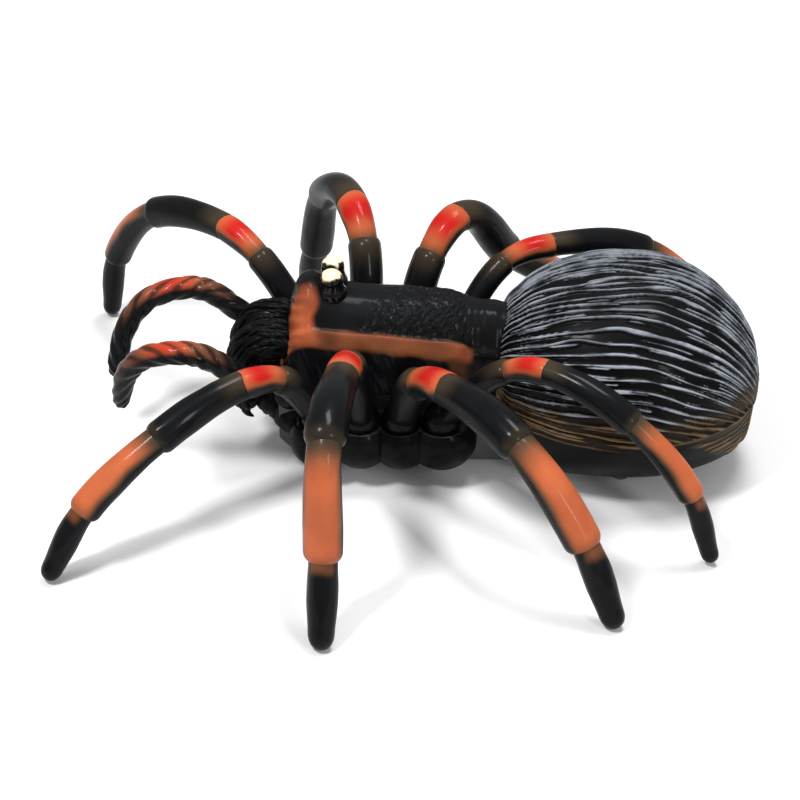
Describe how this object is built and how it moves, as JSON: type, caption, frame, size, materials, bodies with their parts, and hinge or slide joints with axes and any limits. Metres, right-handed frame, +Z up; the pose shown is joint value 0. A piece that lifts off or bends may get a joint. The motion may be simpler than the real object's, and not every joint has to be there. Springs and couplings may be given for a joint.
{
  "type": "walking spider toy",
  "caption": "Battery-powered walking tarantula toy with a moulded body, swinging painted legs, eyes on stubs and a crank-driven leg linkage.",
  "frame": {"origin": "centre of the toy's bounding box, on the floor under it", "axes": "+Z up from the floor the feet stand on, -Y towards the head, +X towards the toy's own left side"},
  "size_m": [0.2033, 0.2177, 0.0701],
  "materials": {
    "black_plastic": "painted moulded plastic, semi-gloss black with dry-brushed pale ridges on the abdomen",
    "leg_plastic": "moulded plastic, black, airbrushed red on the patella and orange on the metatarsus",
    "eye_plastic": "cream, glossy",
    "led_resin": "clear tinted resin",
    "steel": "bright plated steel",
    "nylon": "natural nylon",
    "bar_plastic": "unpainted dark plastic",
    "cell_wrap": "plain coloured sleeve, no lettering",
    "board_green": "circuit board"
  },
  "bodies": {
    "chassis": {"abdomen_shell": "black_plastic", "belly_shell": "black_plastic", "carapace_shell": "black_plastic", "cell_left": "cell_wrap", "cell_right": "cell_wrap", "chelicera_left": "black_plastic", "chelicera_right": "black_plastic", "compound_axle": "steel", "contact_front": "steel", "contact_rear": "steel", "control_board": "board_green", "crank_axle": "steel", "eye_cap_left": "eye_plastic", "eye_cap_right": "eye_plastic", "eye_led_left": "led_resin", "eye_led_right": "led_resin", "gearbox_bracket": "bar_plastic", "motor": "steel", "pedipalp_left": "leg_plastic", "pedipalp_right": "leg_plastic", "power_switch": "bar_plastic", "screw_abdomen_left": "steel", "screw_abdomen_right": "steel", "screw_head": "steel", "screw_waist_left": "steel", "screw_waist_right": "steel"},
    "leg_left_1": {"leg_left_1": "leg_plastic"},
    "leg_left_2": {"leg_left_2": "leg_plastic"},
    "leg_left_3": {"leg_left_3": "leg_plastic"},
    "leg_left_4": {"leg_left_4": "leg_plastic"},
    "leg_right_1": {"leg_right_1": "leg_plastic"},
    "leg_right_2": {"leg_right_2": "leg_plastic"},
    "leg_right_3": {"leg_right_3": "leg_plastic"},
    "leg_right_4": {"leg_right_4": "leg_plastic"},
    "lower_bar": {"lower_bar": "bar_plastic"},
    "upper_bar": {"upper_bar": "bar_plastic"},
    "crank_gear": {"crank_gear": "nylon"},
    "compound_gear": {"compound_gear": "nylon"},
    "motor_pinion": {"motor_pinion": "steel"},
    "switch_knob": {"switch_knob": "bar_plastic"},
    "battery_door": {"battery_door": "black_plastic", "door_screw": "steel"}
  },
  "joints": [
    {"name": "leg_left_1_swing", "type": "hinge", "parent": "chassis", "child": "leg_left_1", "pos_m": [0.0162, -0.0266, 0.023], "axis": [0, 0, 1], "range_deg": [-7.16, 7.16]},
    {"name": "leg_left_2_swing", "type": "hinge", "parent": "chassis", "child": "leg_left_2", "pos_m": [0.0162, -0.0141, 0.023], "axis": [0, 0, 1], "range_deg": [-7.16, 7.16]},
    {"name": "leg_left_3_swing", "type": "hinge", "parent": "chassis", "child": "leg_left_3", "pos_m": [0.0162, -0.0016, 0.023], "axis": [0, 0, 1], "range_deg": [-5.73, 5.73]},
    {"name": "leg_left_4_swing", "type": "hinge", "parent": "chassis", "child": "leg_left_4", "pos_m": [0.0162, 0.0109, 0.023], "axis": [0, 0, 1], "range_deg": [-5.31, 5.31]},
    {"name": "leg_right_1_swing", "type": "hinge", "parent": "chassis", "child": "leg_right_1", "pos_m": [-0.0168, -0.0266, 0.023], "axis": [0, 0, 1], "range_deg": [-7.16, 7.16]},
    {"name": "leg_right_2_swing", "type": "hinge", "parent": "chassis", "child": "leg_right_2", "pos_m": [-0.0168, -0.0141, 0.023], "axis": [0, 0, 1], "range_deg": [-7.16, 7.16]},
    {"name": "leg_right_3_swing", "type": "hinge", "parent": "chassis", "child": "leg_right_3", "pos_m": [-0.0168, -0.0016, 0.023], "axis": [0, 0, 1], "range_deg": [-5.73, 5.73]},
    {"name": "leg_right_4_swing", "type": "hinge", "parent": "chassis", "child": "leg_right_4", "pos_m": [-0.0168, 0.0109, 0.023], "axis": [0, 0, 1], "range_deg": [-5.31, 5.31]},
    {"name": "lower_bar_slide", "type": "slide", "parent": "chassis", "child": "lower_bar", "axis": [0, 1, 0], "range_m": [-0.00125, 0.00125]},
    {"name": "upper_bar_slide", "type": "slide", "parent": "chassis", "child": "upper_bar", "axis": [0, 1, 0], "range_m": [-0.00125, 0.00125]},
    {"name": "crank_turn", "type": "hinge", "parent": "chassis", "child": "crank_gear", "pos_m": [-0.0003, 0.0279, 0.0211], "axis": [0, 0, 1], "continuous": true},
    {"name": "compound_turn", "type": "hinge", "parent": "chassis", "child": "compound_gear", "pos_m": [-0.0003, 0.0399, 0.0211], "axis": [0, 0, 1], "continuous": true},
    {"name": "pinion_turn", "type": "hinge", "parent": "chassis", "child": "motor_pinion", "pos_m": [-0.0003, 0.05115, 0.0296], "axis": [0, 0, 1], "continuous": true},
    {"name": "battery_door_lift", "type": "slide", "parent": "chassis", "child": "battery_door", "axis": [0, 0, -1], "range_m": [0, 0.03]},
    {"name": "switch_slide", "type": "slide", "parent": "chassis", "child": "switch_knob", "axis": [0, 1, 0], "range_m": [0, 0.004]}
  ],
  "couplings": [
    {"joint": "leg_left_1_swing", "follows": "lower_bar_slide", "rad_per_m": -100},
    {"joint": "leg_left_2_swing", "follows": "lower_bar_slide", "rad_per_m": 100},
    {"joint": "leg_left_3_swing", "follows": "lower_bar_slide", "rad_per_m": -80},
    {"joint": "leg_left_4_swing", "follows": "lower_bar_slide", "rad_per_m": 74.074},
    {"joint": "leg_right_1_swing", "follows": "lower_bar_slide", "rad_per_m": -100},
    {"joint": "leg_right_2_swing", "follows": "lower_bar_slide", "rad_per_m": 100},
    {"joint": "leg_right_3_swing", "follows": "lower_bar_slide", "rad_per_m": -80},
    {"joint": "leg_right_4_swing", "follows": "lower_bar_slide", "rad_per_m": 74.074},
    {"joint": "upper_bar_slide", "follows": "lower_bar_slide", "ratio": -1},
    {"joint": "crank_turn", "follows": "compound_turn", "ratio": -0.5},
    {"joint": "pinion_turn", "follows": "compound_turn", "ratio": -4}
  ]
}
